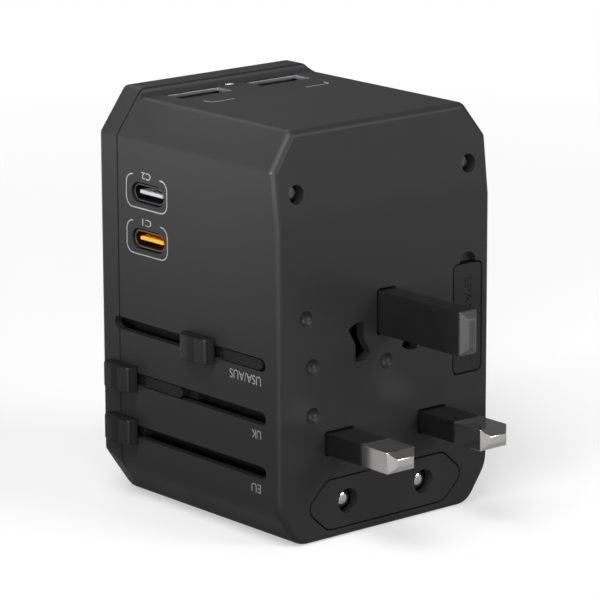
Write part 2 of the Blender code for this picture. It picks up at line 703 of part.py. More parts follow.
def make_charger():
    inner_top = BODY_HEIGHT - WALL
    shell_top = inner_top - GAP
    width, deep, tall = USB_A_SHELL
    shell_foot = shell_top - tall
    deck = shell_foot - GAP
    power_back = POWER_BOARD_DEPTH + BOARD
    box("power_board", (-INNER_WIDTH + GAP, INNER_WIDTH - GAP), (POWER_BOARD_DEPTH, power_back),
        (POWER_FLOOR, deck + 0.3), "board")
    column = USB_C_SHELL[2]
    column_x = -(HALF_WIDTH - 0.4 - column - GAP)
    box("usb_c_board", (column_x, column_x + BOARD), (power_back + GAP, SEAM_DEPTH),
        (POWER_FLOOR - 2, deck), "board")
    box("usb_a_board", (column_x + BOARD + GAP, INNER_WIDTH - GAP), (power_back + GAP, SEAM_DEPTH + 1),
        (deck - BOARD, deck), "board")
    for side, name in ((-1, "left"), (1, "right")):
        x = side * USB_A_SPAN / 2
        shell = box("usb_a_port_" + name, (x - width / 2, x + width / 2),
                    (USB_A_DEPTH - deep / 2, USB_A_DEPTH + deep / 2), (shell_foot, shell_top), "steel")
        mouth = box("usb_a_bore_" + name, (x - width / 2 + 0.35, x + width / 2 - 0.35),
                    (USB_A_DEPTH - deep / 2 + 0.35, USB_A_DEPTH + deep / 2 - 0.35),
                    (shell_foot + 0.6, shell_top + 1))
        cut(shell, mouth)
        box("usb_a_tongue_" + name, (x - 5.5, x + 5.5), (USB_A_DEPTH + 0.3, USB_A_DEPTH + 2.2),
            (shell_foot + 0.9, shell_top - 1.2), "inner_plastic")
    wide, high, long = USB_C_SHELL
    finishes = ("orange_plastic", "grey_plastic")
    for name, height, plastic in zip(("lower", "upper"), USB_C_HEIGHTS, finishes):
        outer = rectangle(back(USB_C_DEPTH), height, wide, high, high / 2 - 0.01)
        bore = rectangle(back(USB_C_DEPTH), height, wide - 0.6, high - 0.6, high / 2 - 0.31)
        start = -(HALF_WIDTH - 0.4)
        shell = prism("usb_c_port_" + name, outer, "X", start, start + long, "steel")
        cut(shell, prism("usb_c_bore_" + name, bore, "X", start - 1, start + long - 0.6))
        box("usb_c_tongue_" + name, (start + USB_C_TONGUE_IN, start + long - 0.9),
            (USB_C_DEPTH - 3.3, USB_C_DEPTH + 3.3), (height - 0.35, height + 0.35), plastic)
    core_back = POWER_BOARD_DEPTH - GAP
    middle = (POWER_FLOOR + deck) / 2
    core = box("transformer", (-14, 2), (core_back - 13, core_back), (middle - 4.6, middle + 4.6),
               "ferrite")
    fuse(core, round_rod("transformer_winding", "X", 5.2, 9, (-6, core_back - 6.5, middle), sides=20))
    capacitors = (("capacitor_large", 4.4, 8.5, 16), ("capacitor_small", 3.4, 17.5, 12))
    for name, radius, x, length in capacitors:
        round_rod(name, "Y", radius, length, (x, core_back - length / 2, middle), "capacitor_skin", 20)
    prism("status_light", light_outline(0), "Z", deck + GAP, BODY_HEIGHT, "light_pipe")
    for side, name in ((-1, "left"), (1, "right")):
        height = BODY_HEIGHT - SCREW_DROP
        head_depth = face_depth(height) + 4.2
        screw = round_rod("housing_screw_" + name, "Y", SCREW_HEAD_RADIUS, 1.6,
                          (side * SCREW_SPAN / 2, head_depth, height), "steel", 20)
        start, end = head_depth, SEAM_DEPTH - 1
        shank = round_rod("screw_shank_" + name, "Y", SCREW_RADIUS, end - start,
                          (side * SCREW_SPAN / 2, (start + end) / 2, height), sides=12)
        cross = box("screw_cross_" + name, (side * SCREW_SPAN / 2 - 0.25, side * SCREW_SPAN / 2 + 0.25),
                    (head_depth - 2, head_depth - 0.3), (height - 0.9, height + 0.9))
        fuse(screw, shank)
        cut(screw, cross)


# Moving pieces

def drawer_x():
    return HALF_WIDTH - DRAWER_EDGE - DRAWER[0] / 2


def flat_pin(name, x, height, section, tip, root, material):
    # a rectangular pin along Y with its tip chamfered on all sides
    width, tall = section
    pin = box(name, (x - width / 2, x + width / 2), (tip, root),
              (height - tall / 2, height + tall / 2), material)
    shape = bmesh.new()
    shape.from_mesh(pin.data)
    front = min(v.co.y for v in shape.verts)
    rim = [e for e in shape.edges if all(abs(v.co.y - front) < 1e-7 for v in e.verts)]
    bmesh.ops.bevel(shape, geom=rim, offset=min(TIP_CHAMFER, min(section) * 0.34) * MM, segments=1,
                    affect="EDGES", profile=0.5)
    shape.to_mesh(pin.data)
    shape.free()
    return pin


def make_button(name, height, knob_depth, with_tongue):
    # finger knob outside, stem and flush tongue in the slot
    proud, length, high = KNOB
    side = -HALF_WIDTH
    half = length / 2
    foot = side - GAP
    crown = side - proud
    outline = [(foot, back(knob_depth - half - 0.4)), (foot, back(knob_depth + half + 0.4))]
    outline += [(crown + 0.9, back(knob_depth + half))]
    swell = 0.35
    steps = 6
    for i in range(steps + 1):
        along = 1 - 2 * i / steps
        outline.append((crown + swell * along * along, back(knob_depth + along * (half - 0.7))))
    outline += [(crown + 0.9, back(knob_depth - half))]
    knob = prism(name, outline, "Z", height - high / 2, height + high / 2, "pin_plastic")
    slim = SLOT_HEIGHT - 0.4
    stem_half = SLOT_BACK - SLOT_HEIGHT / 2 - KNOB_IN
    stem = box(name + "_stem", (foot - 0.5, -INNER_WIDTH), (knob_depth - stem_half, knob_depth + stem_half),
               (height - slim / 2, height + slim / 2))
    fuse(knob, stem)
    if with_tongue:
        end = knob_depth - half - NOTCH_LENGTH + 0.4
        flush = slot_outline(height, end - TONGUE_LENGTH, end + 3, slim)
        tongue = prism(name + "_tongue", flush, "X", side + 0.02, -INNER_WIDTH)
        link = box(name + "_link", (side + 1.0, -INNER_WIDTH - 0.02), (end - 2, knob_depth),
                   (height - slim / 2 + 0.05, height + slim / 2 - 0.05))
        face = box(name + "_notch", (side - 1, side + 1.0), (end, end + 4), (height - 2, height + 2))
        cut(tongue, face)
        fuse(knob, tongue, link)
    return knob


def make_uk_plug():
    root = carrier_point("uk_slide_axis", 0, 0, UK_EARTH_HEIGHT)
    low = UK_ROW_HEIGHT - 2.4
    bar_top = UK_ROW_HEIGHT + 2.4
    arm_low = UK_EARTH_HEIGHT + UK_EARTH[1] / 2 + GAP
    arm_top = POWER_FLOOR - 2 * GAP
    riser_in, riser_out = UK_SPAN / 2 + 0.7, UK_SPAN / 2 + 3.9
    slot_low = UK_SLOT_HEIGHT - ARM / 2
    outline = [(-ARM_OUT, slot_low), (-ARM_IN, slot_low), (-ARM_IN, arm_low), (riser_in, arm_low),
               (riser_in, bar_top), (-riser_out, bar_top), (-riser_out, low), (riser_out, low),
               (riser_out, arm_top), (-ARM_OUT, arm_top)]
    frame = prism("uk_carriage", outline, "Y", PLATE_OUT, PLATE_OUT + PLATE, "inner_plastic")
    knob_out = KNOB_IN - UK_TRAVEL
    arm = box("uk_arm", (-ARM_OUT + 0.05, -ARM_IN - 0.05), (PLATE_OUT + 0.5, knob_out + KNOB[1] / 2),
              (slot_low + 0.05, slot_low + ARM))
    fuse(frame, arm)
    key = box("earth_key_way", (-1.6, 1.6), (PLATE_OUT - 1, PLATE_OUT + PLATE + 1),
              (arm_low - 1, arm_low + 2.8))
    cut(frame, key)
    pieces = [frame]
    core = (UK_PIN[0] - UK_CORE_TRIM, UK_PIN[1] - UK_CORE_TRIM + 0.15)
    tail = PLATE_OUT + PLATE + 0.9
    for side, name in ((-1, "uk_live"), (1, "uk_neutral")):
        x = side * UK_SPAN / 2
        pin = flat_pin(name + "_pin", x, UK_ROW_HEIGHT, UK_PIN, -UK_PIN_LENGTH, -UK_SLEEVE_LENGTH, "nickel")
        shank = box(name + "_core", (x - core[0] / 2, x + core[0] / 2), (-UK_SLEEVE_LENGTH - 1, tail),
                    (UK_ROW_HEIGHT - core[1] / 2, UK_ROW_HEIGHT + core[1] / 2))
        tab = box(name + "_tab", (x - 1.6, x + 1.6), (tail - 0.6, tail + 0.6),
                  (UK_ROW_HEIGHT - 1, UK_ROW_HEIGHT + 2.6))
        fuse(pin, shank, tab)
        sleeve = box(name + "_sleeve", (x - UK_PIN[0] / 2, x + UK_PIN[0] / 2),
                     (-UK_SLEEVE_LENGTH + SLEEVE_LINE, PLATE_OUT - GAP),
                     (UK_ROW_HEIGHT - UK_PIN[1] / 2, UK_ROW_HEIGHT + UK_PIN[1] / 2), "pin_plastic")
        bore = box(name + "_bore", (x - core[0] / 2 - GAP, x + core[0] / 2 + GAP),
                   (-UK_SLEEVE_LENGTH - 2, PLATE_OUT + PLATE + 2),
                   (UK_ROW_HEIGHT - core[1] / 2 - GAP, UK_ROW_HEIGHT + core[1] / 2 + GAP))
        cut(sleeve, bore)
        cut(frame, bore)
        pieces += [pin, sleeve]
    earth = flat_pin("uk_earth_pin", 0, UK_EARTH_HEIGHT, UK_EARTH, -UK_EARTH_LENGTH, PLATE_OUT + PLATE,
                     "pin_plastic")
    lug = box("earth_key", (-1.3, 1.3), (PLATE_OUT + 0.3, PLATE_OUT + PLATE - 0.3),
              (UK_EARTH_HEIGHT, arm_low + 2.5))
    fuse(earth, lug)
    pieces += [earth, make_button("uk_button", UK_SLOT_HEIGHT, knob_out, True)]
    carry(root, *pieces)


def make_blade_plug():
    root = carrier_point("usa_aus_slide_axis", 0, 0, BLADE_HEIGHT)
    plate_in = PLATE_OUT + BLADE_TRAVEL
    ear = STEM_HEAD_RADIUS + 0.6
    half = BLADE_SPAN / 2
    low = BLADE_HEIGHT - 7.5
    saddle = UK_EARTH_HEIGHT - UK_EARTH[1] / 2 - 0.9
    arm_low = BLADE_SLOT_HEIGHT + 3.3
    arm_top = arm_low + ARM
    slot_low = BLADE_SLOT_HEIGHT - ARM / 2
    right = arc((half, BLADE_HEIGHT), ear, 0, 180, 10)
    left = arc((-half, BLADE_HEIGHT), ear, 0, 180, 10)
    outline = [(half + ear, low)] + right
    outline += [(half - ear, saddle), (-half + ear, saddle)] + left
    outline += [(-half - ear, arm_top), (-ARM_OUT, arm_top), (-ARM_OUT, slot_low), (-ARM_IN, slot_low),
                (-ARM_IN, arm_low), (-half - ear + 3, arm_low), (-half - ear + 3, low)]
    plate = prism("usa_aus_carriage", outline, "Y", plate_in, plate_in + PLATE, "inner_plastic")
    arm = box("usa_aus_arm", (-ARM_OUT + 0.05, -ARM_IN - 0.05), (plate_in + 0.5, KNOB_IN + KNOB[1] / 2),
              (slot_low + 0.05, slot_low + ARM - 0.05))
    fuse(plate, arm)
    for side, name in ((-1, "left"), (1, "right")):
        pivot = carrier_point(name + "_blade_axis", side * half, plate_in, BLADE_HEIGHT, root)
        hole = round_rod(name + "_stem_hole", "Y", STEM_RADIUS + GAP, PLATE + 4,
                         (side * half, plate_in + PLATE / 2, BLADE_HEIGHT), sides=20)
        cut(plate, hole)
        tip = BLADE_TRAVEL - BLADE_REACH
        blade = flat_pin(name + "_blade", side * half, BLADE_HEIGHT, BLADE, tip, plate_in - 0.05, "nickel")
        stem_front, stem_back = plate_in - 0.25, plate_in + PLATE + GAP + 0.5
        stem = round_rod(name + "_stem", "Y", STEM_RADIUS, stem_back - stem_front,
                         (side * half, (stem_front + stem_back) / 2, BLADE_HEIGHT), sides=20)
        head = round_rod(name + "_stem_head", "Y", STEM_HEAD_RADIUS, 1.2,
                         (side * half, plate_in + PLATE + GAP + 0.6, BLADE_HEIGHT), sides=20)
        fuse(blade, stem, head)
        carry(pivot, blade)
    button = make_button("usa_aus_button", BLADE_SLOT_HEIGHT, KNOB_IN, True)
    carry(root, plate, button)


def make_eu_plug():
    plate_front = EU_PIN_RECESS + EU_PIN_REACH + EU_BLOCK_FACE + 0.3
    root = carrier_point("eu_slide_axis", 0, 0, EU_HEIGHT)
    block_root = carrier_point("eu_block_axis", 0, 0, EU_HEIGHT)
    length = EU_BLOCK_TRAVEL + FACE_WALL + GAP + EU_FLANGE
    block = prism("eu_block", eu_outline(0), "Y", 0, length, "shell_black")
    wide, top = EU_BLOCK[0] / 2 + 1.0, EU_HEIGHT + EU_BLOCK[1] / 2 + 1.0
    rim = [(-wide, EU_HEIGHT - 1.5), (wide, EU_HEIGHT - 1.5), (wide, EU_HEIGHT + 0.8),
           (wide - EU_BLOCK_SHOULDER, top), (-wide + EU_BLOCK_SHOULDER, top),
           (-wide, EU_HEIGHT + 0.8)]
    flange = prism("eu_flange", rounded(rim, [0.3] * 6, 2), "Y", length - EU_FLANGE, length - 0.2)
    hollow = prism("eu_hollow", eu_outline(-EU_BLOCK_WALL), "Y", EU_BLOCK_FACE, length + 1)
    fuse(block, flange)
    cut(block, hollow)
    base_half = EU_SPAN / 2 + 3.4
    base = box("eu_carriage", (-base_half, base_half), (plate_front, plate_front + PLATE),
               (EU_HEIGHT - 2.5, EU_HEIGHT + 2.5), "inner_plastic")
    cross = KNOB_IN - 3.2
    beam = box("eu_beam", (-2.5, 2.5), (plate_front + 1, cross + 1), (EU_HEIGHT - 1.2, EU_HEIGHT + 1.2))
    arm_top = EU_SLOT_HEIGHT - 3.3
    outline = [(-2.6, EU_HEIGHT - 1.3), (2.6, EU_HEIGHT - 1.3), (2.6, arm_top), (-ARM_IN, arm_top),
               (-ARM_IN, EU_SLOT_HEIGHT + ARM / 2), (-ARM_OUT, EU_SLOT_HEIGHT + ARM / 2),
               (-ARM_OUT, arm_top - ARM), (-2.6, arm_top - ARM)]
    arm = prism("eu_arm", outline, "Y", cross, cross + PLATE + 2.4)
    fuse(base, beam, arm)
    pieces = [base]
    for side, name in ((-1, "left"), (1, "right")):
        x = side * EU_SPAN / 2
        hole = round_rod("eu_mouth_" + name, "Y", EU_HOLE_RADIUS, 6, (x, 1, EU_HEIGHT), sides=20)
        cut(block, hole)
        tail = plate_front + PLATE + 0.6
        start = EU_PIN_RECESS + EU_NOSE - JOIN
        pin = round_rod("eu_%s_pin" % name, "Y", EU_PIN_RADIUS, tail - start,
                        (x, (tail + start) / 2, EU_HEIGHT), "nickel", 20)
        nose = round_rod("eu_nose_" + name, "Y", EU_PIN_RADIUS, EU_NOSE,
                         (x, EU_PIN_RECESS + EU_NOSE / 2, EU_HEIGHT), sides=20, tip=EU_NOSE_TIP)
        fuse(pin, nose)
        bore = round_rod("eu_bore_" + name, "Y", EU_PIN_RADIUS + GAP, PLATE + 4,
                         (x, plate_front + PLATE / 2, EU_HEIGHT), sides=20)
        cut(base, bore)
        pieces.append(pin)
    pieces.append(make_button("eu_button", EU_SLOT_HEIGHT, KNOB_IN, False))
    carry(root, *pieces)
    carry(block_root, block)


def make_drawer():
    x = drawer_x()
    width, height = DRAWER
    middle = DRAWER_FOOT + height / 2
    root = carrier_point("spare_fuse_axis", x, 0, middle)
    cover = prism("spare_fuse_drawer", rectangle(x, middle, width, height, 0.9), "Y", 0, DRAWER_COVER,
                  "shell_black")
    radius, length = SPARE_FUSE
    depth = DRAWER_COVER + GAP + radius
    half = width / 2 - 0.3
    cradle = box("fuse_cradle", (x - half, x + half), (DRAWER_COVER - 0.3, depth + radius * 0.9),
                 (middle - length / 2 - 0.9, middle + length / 2 + 0.9))
    bed = round_rod("fuse_bed", "Z", radius + GAP, length + 0.6, (x, depth, middle), sides=20)
    back_way = box("fuse_way", (x - radius - GAP, x + radius + GAP), (depth, depth + radius + 3),
                   (middle - length / 2 - 0.3, middle + length / 2 + 0.3))
    fuse(cover, cradle)
    cut(cover, bed, back_way)
    spare = round_rod("spare_fuse", "Z", radius, length, (x, depth, middle), "ceramic", 20)
    carry(root, cover, spare)


make_front_housing()
make_back_cover()
carry(carrier_point("shutter_axis", 0, SHUTTER_FRONT, UK_ROW_HEIGHT), make_shutter())
make_carrier()
make_main_fuse()
make_contacts()
make_charger()
make_uk_plug()
make_blade_plug()
make_eu_plug()
make_drawer()
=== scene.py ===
import json
import math

import bpy
from mathutils import Matrix, Vector


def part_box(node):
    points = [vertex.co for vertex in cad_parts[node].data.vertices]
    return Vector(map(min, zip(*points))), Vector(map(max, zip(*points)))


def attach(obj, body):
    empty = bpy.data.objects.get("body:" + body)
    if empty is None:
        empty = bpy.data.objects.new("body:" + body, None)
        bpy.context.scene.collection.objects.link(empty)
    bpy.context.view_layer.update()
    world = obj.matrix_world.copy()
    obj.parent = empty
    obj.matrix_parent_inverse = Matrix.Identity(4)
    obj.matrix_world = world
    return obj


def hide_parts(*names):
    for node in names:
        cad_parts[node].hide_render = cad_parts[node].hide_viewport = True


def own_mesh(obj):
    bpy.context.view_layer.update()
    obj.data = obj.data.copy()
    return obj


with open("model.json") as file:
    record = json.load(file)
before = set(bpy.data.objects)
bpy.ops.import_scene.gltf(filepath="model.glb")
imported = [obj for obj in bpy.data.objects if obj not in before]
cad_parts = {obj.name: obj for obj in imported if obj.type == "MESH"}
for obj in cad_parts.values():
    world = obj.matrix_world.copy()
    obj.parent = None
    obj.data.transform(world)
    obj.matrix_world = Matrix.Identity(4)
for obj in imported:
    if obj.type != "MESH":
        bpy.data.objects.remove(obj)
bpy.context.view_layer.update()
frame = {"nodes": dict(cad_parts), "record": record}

mm = 0.001
record = frame["record"]
slotOf = {part["node"]: part["material_slot"] for part in record["subparts"]}
bodyOf = {node: body for body, nodes in record["behaviour"]["bodies"].items() for node in nodes}


class Wire:
    # a socket that can be used in a Python expression
    def __init__(self, shader, socket):
        self.shader = shader
        self.socket = socket

    def math(self, operation, first, second):
        return self.shader.add("ShaderNodeMath", {"operation": operation}, {0: first, 1: second})

    def __add__(self, other):
        return self.math("ADD", self, other)

    def __sub__(self, other):
        return self.math("SUBTRACT", self, other)

    def __rsub__(self, other):
        return self.math("SUBTRACT", other, self)

    def __mul__(self, other):
        return self.math("MULTIPLY", self, other)

    __radd__ = __add__
    __rmul__ = __mul__


class Shader:
    def __init__(self, name):
        self.material = bpy.data.materials.new(name)
        self.material.use_nodes = True
        self.tree = self.material.node_tree
        self.surface = self.tree.nodes["Principled BSDF"]
        self.place = self.add("ShaderNodeTexCoord", {}, {}, "Object")

    def add(self, kind, settings, inputs, output=0):
        node = self.tree.nodes.new(kind)
        for key, value in settings.items():
            if key == "stops":
                ramp = node.color_ramp.elements
                for stop, (position, shade) in zip(ramp, value):
                    stop.position = position
                    stop.color = (shade, shade, shade, 1)
            else:
                setattr(node, key, value)
        for key, value in inputs.items():
            self.feed(node.inputs[key], value)
        return Wire(self, node.outputs[output])

    def feed(self, target, value):
        if isinstance(value, Wire):
            self.tree.links.new(value.socket, target)
        else:
            target.default_value = value

    def noise(self, size, detail=2.0, stretch=(1, 1, 1)):
        # size is a grain in millimetres; stretch lengthens it along an axis
        scale = tuple(1 / (size * mm * s) for s in stretch)
        place = self.add("ShaderNodeMapping", {}, {"Vector": self.place, "Scale": scale})
        return self.add("ShaderNodeTexNoise", {}, {"Vector": place, "Scale": 1.0, "Detail": detail})

    def blend(self, factor, dark, light):
        return self.add("ShaderNodeMix", {"data_type": "RGBA"},
                        {0: factor, 6: (*dark, 1), 7: (*light, 1)}, 2)

    def bump(self, height, depth):
        return self.add("ShaderNodeBump", {}, {"Height": height, "Distance": depth * mm, "Strength": 1.0})

    def ramp(self, value, ends, levels):
        # a straight slope between two ends, level beyond them
        return self.add("ShaderNodeMapRange", {}, {"Value": value, "From Min": ends[0], "From Max": ends[1],
                                                   "To Min": levels[0], "To Max": levels[1]})

    def set(self, **values):
        for key, value in values.items():
            self.feed(self.surface.inputs[key.replace("_", " ")], value)
        return self.material


def mouldedPlastic(name, look):
    # spark-eroded mould texture: fine grain, cloudy gloss, a little colour drift
    s = Shader(name)
    grain = s.noise(look["grain"], 3.0)
    cloud = s.noise(9.0, 2.0)
    base = look["colour"]
    low = tuple(c * (1 - look["drift"]) for c in base)
    high = tuple(c * (1 + look["drift"]) for c in base)
    colour = s.blend(cloud * 0.55 + grain * 0.45, low, high)
    rough = (cloud - 0.5) * 0.10 + (grain - 0.5) * 0.08 + look["rough"]
    s.surface.inputs["Specular IOR Level"].default_value = look["gloss"]
    return s.set(Base_Color=colour, Roughness=rough, Normal=s.bump(grain, look["relief"]))


def paintedLitTip(name, look):
    # the same plastic, painted paler over the last stretch of a pin: a painted highlight where its end face
    # and chamfers catch the light
    s = Shader(name)
    grain = s.noise(look["grain"], 3.0)
    along = s.add("ShaderNodeSeparateXYZ", {}, {0: s.place}, 1)
    litReach = look["tip"] + look["litLength"]
    # painted highlight share, full over the tip's stretch and fading out behind it, with a little grain in
    # it
    paintedTipLight = s.ramp(along, (litReach * mm, (litReach + look["fade"]) * mm), (1.0, 0.0))
    paintedTipLight = paintedTipLight * (grain * 0.3 + 0.75)
    colour = s.blend(paintedTipLight, look["colour"], look["paler"])
    s.surface.inputs["Specular IOR Level"].default_value = look["gloss"]
    rough = paintedTipLight * 0.08 + look["rough"]
    return s.set(Base_Color=colour, Roughness=rough, Normal=s.bump(grain, look["relief"]))


def platedMetal(name, look):
    # drawn or stamped metal: lines along the piece and faint handling marks
    s = Shader(name)
    lines = s.noise(look["grain"], 2.0, look["stretch"])
    marks = s.noise(2.4, 4.0)
    base = look["colour"]
    colour = s.blend(marks, tuple(c * 0.90 for c in base), base)
    rough = (lines - 0.5) * 0.06 + (marks - 0.5) * 0.05 + look["rough"]
    return s.set(Base_Color=colour, Roughness=rough, Metallic=1.0, Normal=s.bump(lines, look["relief"]))


def glazed(name, look):
    s = Shader(name)
    speck = s.noise(look["grain"], 2.0)
    base = look["colour"]
    colour = s.blend(speck, tuple(c * 0.88 for c in base), base)
    rough = (speck - 0.5) * 0.12 + look["rough"]
    return s.set(Base_Color=colour, Roughness=rough, Normal=s.bump(speck, look["relief"]))


def circuitBoard(name, look):
    # solder mask with paler copper runs showing through
    s = Shader(name)
    runs = s.add("ShaderNodeTexVoronoi", {"feature": "DISTANCE_TO_EDGE", "distance": "EUCLIDEAN"},
                 {"Vector": s.place, "Scale": 420.0})
    band = s.add("ShaderNodeValToRGB", {"stops": ((0.04, 1.0), (0.09, 0.0))}, {0: runs})
    colour = s.blend(band, look["colour"], look["runs"])
    return s.set(Base_Color=colour, Roughness=0.45 - band * 0.1, Normal=s.bump(band, 0.03))


plastics = {
    "shell_black": {"colour": (0.0185, 0.0185, 0.019), "rough": 0.42, "grain": 0.26, "drift": 0.10,
                    "relief": 0.006, "gloss": 0.20},
    "inner_plastic": {"colour": (0.009, 0.009, 0.010), "rough": 0.52, "grain": 0.35, "drift": 0.08,
                      "relief": 0.005, "gloss": 0.30},
    "pin_plastic": {"colour": (0.0062, 0.0062, 0.0065), "rough": 0.30, "grain": 0.40, "drift": 0.10,
                    "relief": 0.003, "gloss": 0.42},
    "knobPlastic": {"colour": (0.0105, 0.0105, 0.011), "rough": 0.33, "grain": 0.30, "drift": 0.10,
                    "relief": 0.003, "gloss": 0.28},
    # painted shade: darker than the shell, for the buttons whose tongues lie deep in their slots
    "slotPlastic": {"colour": (0.0095, 0.0095, 0.010), "rough": 0.50, "grain": 0.30, "drift": 0.10,
                    "relief": 0.003, "gloss": 0.16},
    "coverPlastic": {"colour": (0.0125, 0.0125, 0.013), "rough": 0.40, "grain": 0.26, "drift": 0.10,
                     "relief": 0.005, "gloss": 0.20},
    "orange_plastic": {"colour": (0.95, 0.31, 0.03), "rough": 0.42, "grain": 0.30, "drift": 0.06,
                       "relief": 0.003, "gloss": 0.45},
    "grey_plastic": {"colour": (0.30, 0.31, 0.32), "rough": 0.45, "grain": 0.30, "drift": 0.06,
                     "relief": 0.003, "gloss": 0.45},
    "light_pipe": {"colour": (0.46, 0.48, 0.49), "rough": 0.22, "grain": 0.60, "drift": 0.05,
                   "relief": 0.002, "gloss": 0.50},
    "ferrite": {"colour": (0.05, 0.05, 0.055), "rough": 0.62, "grain": 0.25, "drift": 0.15,
                "relief": 0.012, "gloss": 0.40},
    "capacitor_skin": {"colour": (0.03, 0.04, 0.08), "rough": 0.34, "grain": 0.50, "drift": 0.08,
                       "relief": 0.004, "gloss": 0.50},
    "labelInk": {"colour": (0.22, 0.22, 0.225), "rough": 0.60, "grain": 0.12, "drift": 0.14,
                 "relief": 0.002, "gloss": 0.30},
}
metals = {
    "nickel": {"colour": (0.80, 0.79, 0.77), "rough": 0.13, "grain": 0.10, "stretch": (1, 14, 1),
               "relief": 0.0012},
    "brass": {"colour": (0.72, 0.55, 0.25), "rough": 0.30, "grain": 0.12, "stretch": (1, 8, 1),
              "relief": 0.0015},
    "steel": {"colour": (0.52, 0.52, 0.53), "rough": 0.28, "grain": 0.12, "stretch": (1, 1, 9),
              "relief": 0.0015},
    "darkSteel": {"colour": (0.10, 0.10, 0.105), "rough": 0.34, "grain": 0.12, "stretch": (1, 1, 9),
                  "relief": 0.0015},
    # dark steel tinted warm as a painted reflection of the orange tongue inside the lower USB-C port
    "warmSteel": {"colour": (0.20, 0.14, 0.10), "rough": 0.32, "grain": 0.12, "stretch": (1, 1, 9),
                  "relief": 0.0015},
    "screwSteel": {"colour": (0.34, 0.34, 0.35), "rough": 0.38, "grain": 0.15, "stretch": (1, 1, 1),
                   "relief": 0.002},
    "contactGold": {"colour": (0.83, 0.62, 0.24), "rough": 0.24, "grain": 0.10, "stretch": (1, 4, 1),
                    "relief": 0.001},
}
ceramicLook = {"colour": (0.80, 0.78, 0.73), "rough": 0.3, "grain": 0.8, "relief": 0.003}
boardLook = {"colour": (0.012, 0.09, 0.035), "runs": (0.04, 0.2, 0.08)}
finishes = {name: mouldedPlastic(name + "Finish", look) for name, look in plastics.items()}
finishes.update({name: platedMetal(name + "Finish", look) for name, look in metals.items()})
finishes["ceramic"] = glazed("ceramicFinish", ceramicLook)
finishes["board"] = circuitBoard("boardFinish", boardLook)
print("materials:", len(finishes))


def onlySelect(piece):
    for other in bpy.context.selected_objects:
        other.select_set(False)
    piece.select_set(True)
    bpy.context.view_layer.objects.active = piece


def dress(piece, finish, body, *nodes, slot=None):
    piece.data.materials.clear()
    piece.data.materials.append(finishes[finish])
    if nodes:
        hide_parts(*nodes)
    slot or finish in slotOf.values()
    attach(piece, body)
    return piece


def settle(piece):
    # place goes into the mesh, so the object stays at the origin
    onlySelect(piece)
    bpy.ops.object.transform_apply(location=True, rotation=True, scale=True)


def applyModifier(piece, kind, **settings):
    onlySelect(piece)
    step = piece.modifiers.new(kind.lower(), kind)
    for key, value in settings.items():
        setattr(step, key, value)
    bpy.ops.object.modifier_apply(modifier=step.name)


def smooth(piece, angle=35):
    onlySelect(piece)
    bpy.ops.object.shade_smooth_by_angle(angle=math.radians(angle))
    applyModifier(piece, "WEIGHTED_NORMAL", keep_sharp=True, weight=100)


def edgesWhere(piece, test):
    # leaves edit mode on, with the edges whose two ends pass a test selected
    bpy.ops.object.mode_set(mode="EDIT")
    bpy.ops.mesh.select_all(action="DESELECT")
    bpy.ops.object.mode_set(mode="OBJECT")
    points = piece.data.vertices
    for edge in piece.data.edges:
        edge.select = test(*(points[i].co for i in edge.vertices))
    bpy.ops.object.mode_set(mode="EDIT")
    bpy.ops.mesh.select_mode(type="EDGE")


def sharpEdgesWhere(piece, test, offset, segments):
    # break the sharp edges whose ends pass a test
    bpy.ops.object.mode_set(mode="EDIT")
    bpy.ops.mesh.select_mode(type="EDGE")
    bpy.ops.mesh.select_all(action="DESELECT")
    bpy.ops.mesh.edges_select_sharp(sharpness=math.radians(60))
    bpy.ops.object.mode_set(mode="OBJECT")
    points = piece.data.vertices
    chosen = [edge.index for edge in piece.data.edges
              if edge.select and test(*(points[i].co / mm for i in edge.vertices))]
    for group in (points, piece.data.edges, piece.data.polygons):
        for part in group:
            part.select = False
    for index in chosen:
        piece.data.edges[index].select = True
        for i in piece.data.edges[index].vertices:
            points[i].select = True
    bpy.ops.object.mode_set(mode="EDIT")
    bpy.ops.mesh.bevel(offset=offset * mm, segments=segments, clamp_overlap=True)
    bpy.ops.object.mode_set(mode="OBJECT")
    print(piece.name, "edges broken:", len(chosen))


def refined(node, edge, finish=None):
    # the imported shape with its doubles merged, its flats cleaned and its edges broken
    cad = frame["nodes"][node]
    piece = bpy.data.objects.new(node + "_shown", cad.data.copy())
    bpy.context.scene.collection.objects.link(piece)
    onlySelect(piece)
    bpy.ops.object.mode_set(mode="EDIT")
    bpy.ops.mesh.select_all(action="SELECT")
    bpy.ops.mesh.remove_doubles(threshold=0.000002)
    bpy.ops.mesh.dissolve_limited(angle_limit=math.radians(0.6))
    bpy.ops.object.mode_set(mode="OBJECT")
    if edge:
        applyModifier(piece, "BEVEL", width=edge * mm, segments=3, limit_method="ANGLE",
                      angle_limit=math.radians(38), use_clamp_overlap=True)
    smooth(piece)
    return dress(piece, finish or slotOf[node], bodyOf[node], node, slot=slotOf[node])


def block(name, low, high):
    centre = [(a + b) / 2 * mm for a, b in zip(low, high)]
    size = [(b - a) * mm for a, b in zip(low, high)]
    bpy.ops.mesh.primitive_cube_add(size=1, location=centre, scale=size)
    piece = bpy.context.object
    piece.name = name
    settle(piece)
    return piece


pinFaceY = -25.5


def pinFace(depth):
    # how far behind the pin face a place is, turned into its y
    return depth + pinFaceY


